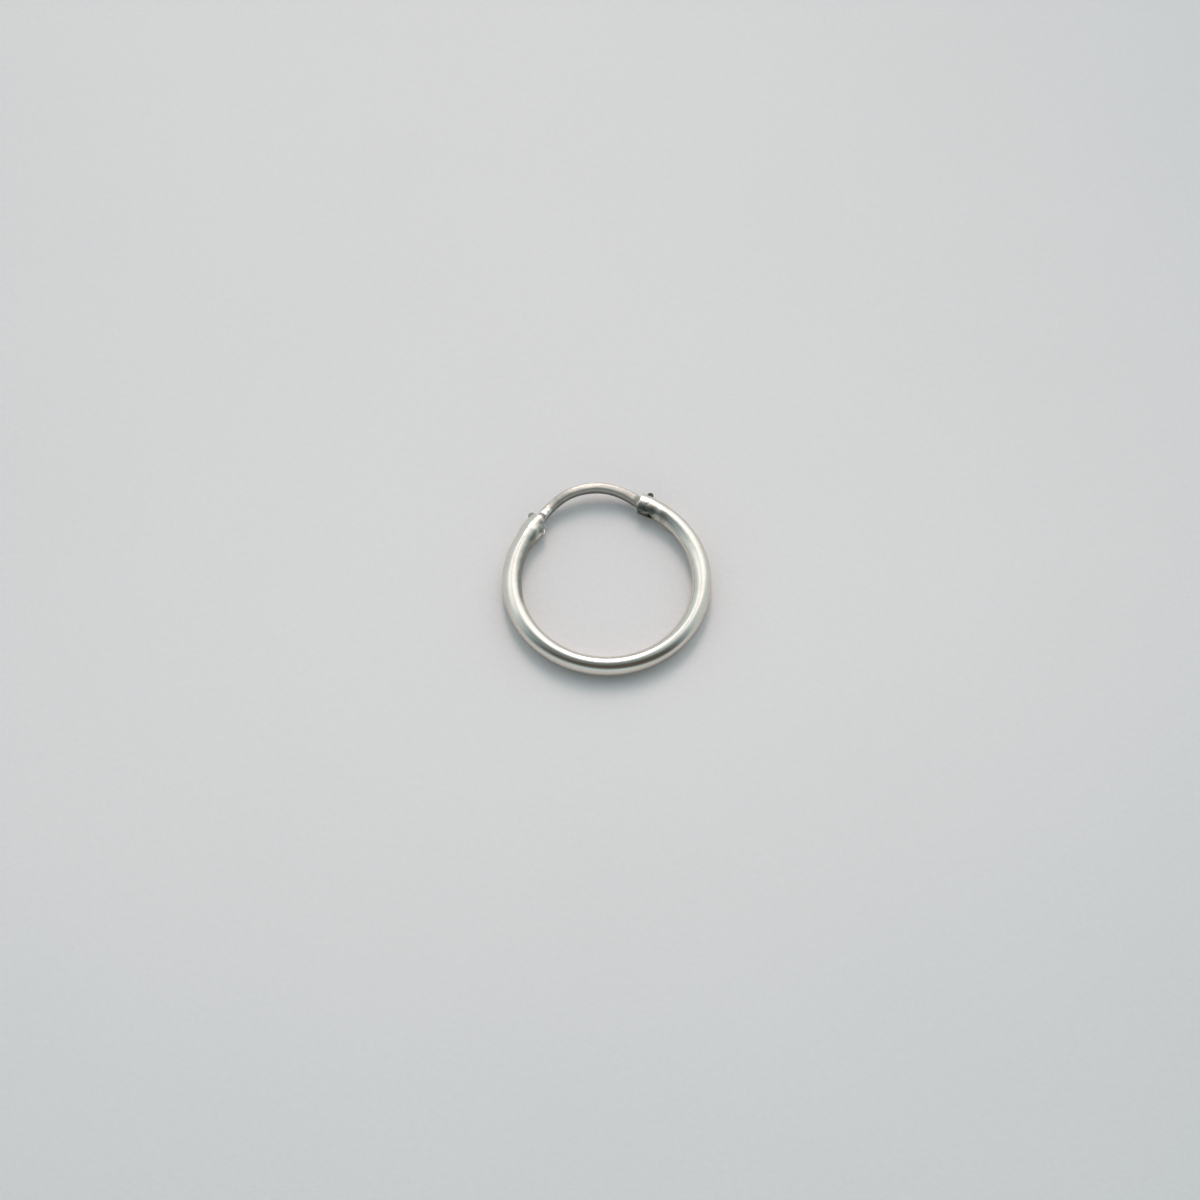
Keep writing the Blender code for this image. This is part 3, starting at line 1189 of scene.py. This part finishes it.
        even = piece.modifiers.new("even", "REMESH")
        even.mode = "VOXEL"
        even.voxel_size = self.grain
        soft = piece.modifiers.new("soft", "SMOOTH")
        soft.factor = self.softening_share
        soft.iterations = self.softening
        settle(piece)
        piece.data.shade_smooth()
        piece.data.materials.clear()
        piece.data.materials.append(DRAWN.build(lay))
        place_piece(piece, lay.centre)
        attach(piece, "wire")
        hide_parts("ear_wire")
        return piece


@dataclass
class HingePin:
    """The rivet that the ear wire turns on. Lengths are in millimetres."""

    layout: Layout
    dome: float = 0.04
    dome_steps: int = 6

    def build(self) -> bpy.types.Object:
        """Makes the pin, its domed ends flush with the fork's jaws, and dresses it.

        Returns:
            The piece, in place of the plain one.
        """
        lay = self.layout
        _, jaw = lay.half_size(End.HINGE, lay.pin_setback)
        shaft = lay.pin_diameter / 2
        upper = []
        for k in range(self.dome_steps + 1):
            turn = math.pi / 2 * k / (self.dome_steps + 0.5)
            upper.append((jaw - self.dome * (1 - math.sin(turn)), shaft * math.cos(turn)))
        outline = [(-height, radius) for height, radius in upper[::-1]] + upper
        rings = [circle(lay.pin + Vector((0.0, 0.0, h)), r) for h, r in outline]
        piece = mesh_piece("hinge_pin_turned", loft(rings))
        piece.data.materials.append(RIVET.build(lay))
        place_piece(piece, lay.centre)
        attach(piece, "hoop")
        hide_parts("hinge_pin")
        return piece


@dataclass(frozen=True)
class SkyOval:
    """A soft oval on the flat map of the room, in degrees: its middle and its half sizes."""

    right: float
    away: float
    wide: float
    deep: float
    strength: float = 1.0
    solid: float = 0.45
    faded: float = 1.5

    def mask(self, x: Sock, y: Sock) -> Sock:
        """How strong the oval is in each direction.

        Args:
            x: Degrees from the zenith to the picture's right.
            y: Degrees from the zenith away from the camera.

        Returns:
            A value from 0 to the oval's strength.
        """
        across, along = (x - self.right) / self.wide, (y - self.away) / self.deep
        reach = x.math("SQRT", across * across + along * along)
        return (1 - reach.step(self.solid, self.faded)) * self.strength


@dataclass(frozen=True)
class SkyEdge:
    """A soft straight edge on the flat map of the room.

    right and away say which way the light lies, and start and full how far that way, in degrees.
    """

    right: float
    away: float
    start: float
    full: float

    def mask(self, x: Sock, y: Sock) -> Sock:
        """How far inside the edge each direction is, from 0 to 1."""
        return (x * self.right + y * self.away).step(self.start, self.full)


@dataclass(frozen=True)
class SkyPanel:
    """A bright panel with soft straight edges on the flat map of the room."""

    strength: float
    edges: tuple[SkyEdge, ...]

    def mask(self, x: Sock, y: Sock) -> Sock:
        """How bright the panel is in each direction.

        Args:
            x: Degrees from the zenith to the picture's right.
            y: Degrees from the zenith away from the camera.

        Returns:
            A value from 0 to the panel's strength.
        """
        inside = self.edges[0].mask(x, y)
        for edge in self.edges[1:]:
            inside = inside * edge.mask(x, y)
        return inside * self.strength


WINDOW = SkyPanel(
    strength=0.071,
    edges=(
        SkyEdge(1.0, 0.0, -8.0, 3.0),
        SkyEdge(-1.0, 0.0, -74.0, -20.0),
        SkyEdge(0.0, -1.0, -86.0, -54.0),
        SkyEdge(1.25, 1.0, 15.0, 42.0),
        SkyEdge(-0.5, 1.0, -10.0, 13.0),
    ),
)
STRIP = SkyPanel(
    strength=0.066,
    edges=(
        SkyEdge(-0.3, 1.0, 16.5, 32.5),
        SkyEdge(0.3, -1.0, -53.5, -32.5),
        SkyEdge(1.0, 0.0, -70.0, -28.0),
        SkyEdge(-1.0, 0.0, -2.0, 10.0),
    ),
)
LAMP = SkyOval(right=-1.0, away=50.0, wide=8.6, deep=12.2)
DARK_FRONT = (
    SkyOval(right=0.0, away=-27.0, wide=70.0, deep=26.0),
    SkyOval(right=24.0, away=-37.0, wide=58.0, deep=24.0),
    SkyOval(right=-9.0, away=-5.0, wide=28.0, deep=23.0, strength=0.8),
)


@dataclass
class Studio:
    """The card, the light all round and the camera."""

    layout: Layout
    azimuth: float = math.radians(-11.5)
    elevation: float = math.radians(63.0)
    distance: float = 0.17
    lens: float = 76.5
    sensor: float = 36.0
    nearest: float = 0.01
    aim_right: float = -0.45
    aim_away: float = -1.44
    card_size: float = 1.2
    glow_strength: float = 10.0
    highest: float = 0.9999
    room_stops: tuple[tuple[float, Colour], ...] = (
        (0.0, (0.61, 0.72, 0.745)),
        (0.55, (0.275, 0.365, 0.395)),
        (1.0, (0.1, 0.092, 0.078)),
    )
    glow_colour: Colour = (1.0, 0.95, 0.97)
    lamp_colour: Colour = (1.13, 0.93, 0.845)

    def right(self) -> Vector:
        """The picture's right, level."""
        return Vector((math.cos(self.azimuth), math.sin(self.azimuth), 0.0))

    def away(self) -> Vector:
        """Straight away from the camera, level."""
        return Vector((-math.sin(self.azimuth), math.cos(self.azimuth), 0.0))

    def lay_card(self) -> bpy.types.Object:
        """Lays the card under the earring.

        Returns:
            The card.
        """
        edit = bmesh.new()
        bmesh.ops.create_grid(edit, x_segments=1, y_segments=1, size=self.card_size / 2)
        card = mesh_piece("card", edit)
        card.data.materials.append(Card().build())
        return card

    def sky(self, nodes: Nodes) -> tuple[Sock, Sock]:
        """Where a direction lies on a flat round map of the room, with the zenith in the middle.

        Args:
            nodes: The world's nodes.

        Returns:
            Degrees from the zenith to the picture's right, and degrees away from the camera.
        """
        way = nodes.add("ShaderNodeTexCoord", None, None, "Generated")
        _, _, up = nodes.axes(way)
        up = up.math("MINIMUM", up, self.highest)
        tilt = up.math("ARCCOSINE", up) * (180 / math.pi)
        level = up.math("SQRT", 1 - up * up)
        across = nodes.vector("DOT_PRODUCT", way, tuple(self.right()), out="Value")
        away = nodes.vector("DOT_PRODUCT", way, tuple(self.away()), out="Value")
        return across * tilt / level, away * tilt / level

    def light(self) -> bpy.types.World:
        """Lights the scene with a soft window, a bright strip and a lamp behind, and a dark front.

        Returns:
            The world.
        """
        world = bpy.data.worlds.new("soft_room")
        bpy.context.scene.world = world
        world.use_nodes = True
        nodes = Nodes(world.node_tree)
        x, y = self.sky(nodes)

        dark = nodes.number(0.0)
        for oval in DARK_FRONT:
            dark = dark.math("MAXIMUM", dark, oval.mask(x, y))
        room = nodes.add("ShaderNodeValToRGB", {"stops": self.room_stops}, {"Fac": dark}, "Color")
        panels = WINDOW.mask(x, y) + STRIP.mask(x, y)
        glow = nodes.mix(panels, (0.0, 0.0, 0.0), self.glow_colour)
        glow = nodes.mix(LAMP.mask(x, y), glow, self.lamp_colour)

        dim = nodes.add("ShaderNodeBackground", None, {"Color": room, "Strength": 1.0})
        shine = {"Color": glow, "Strength": self.glow_strength}
        bright = nodes.add("ShaderNodeBackground", None, shine)
        both = nodes.add("ShaderNodeAddShader", None, {0: dim, 1: bright})
        nodes.add("ShaderNodeOutputWorld", None, {"Surface": both})
        return world

    def set_camera(self) -> bpy.types.Object:
        """Places the camera at the picture's angle.

        Returns:
            The camera.
        """
        data = bpy.data.cameras.new("camera")
        data.lens = self.lens
        data.sensor_width = self.sensor
        camera = bpy.data.objects.new("camera", data)
        bpy.context.scene.collection.objects.link(camera)
        rise = Vector((0.0, 0.0, math.sin(self.elevation)))
        back = rise - self.away() * math.cos(self.elevation)
        aim = self.layout.centre
        aim = aim + (self.right() * self.aim_right + self.away() * self.aim_away) * MM
        camera.location = aim + back * self.distance
        camera.rotation_euler = (-back).to_track_quat("-Z", "Y").to_euler()
        data.clip_start = self.nearest
        bpy.context.scene.camera = camera
        return camera

    def build(self) -> None:
        """Sets the stage and how the picture shows brightness."""
        self.lay_card()
        self.light()
        self.set_camera()
        bpy.context.scene.view_settings.view_transform = "Standard"


def report(piece: bpy.types.Object) -> None:
    """Logs one piece and its size in triangles.

    Args:
        piece: The finished piece.
    """
    mesh = piece.data
    mesh.calc_loop_triangles()
    LOG.info("%s: %d triangles", piece.name, len(mesh.loop_triangles))


def main() -> None:
    """Builds the earring, piece by piece, and its stage."""
    logging.basicConfig(level=logging.INFO, format="%(name)s: %(message)s")
    layout = Layout()
    Studio(layout).build()
    report(HoopTube(layout).build())
    report(EarWire(layout).build())
    report(HingePin(layout).build())


if __name__ == "__main__":
    main()
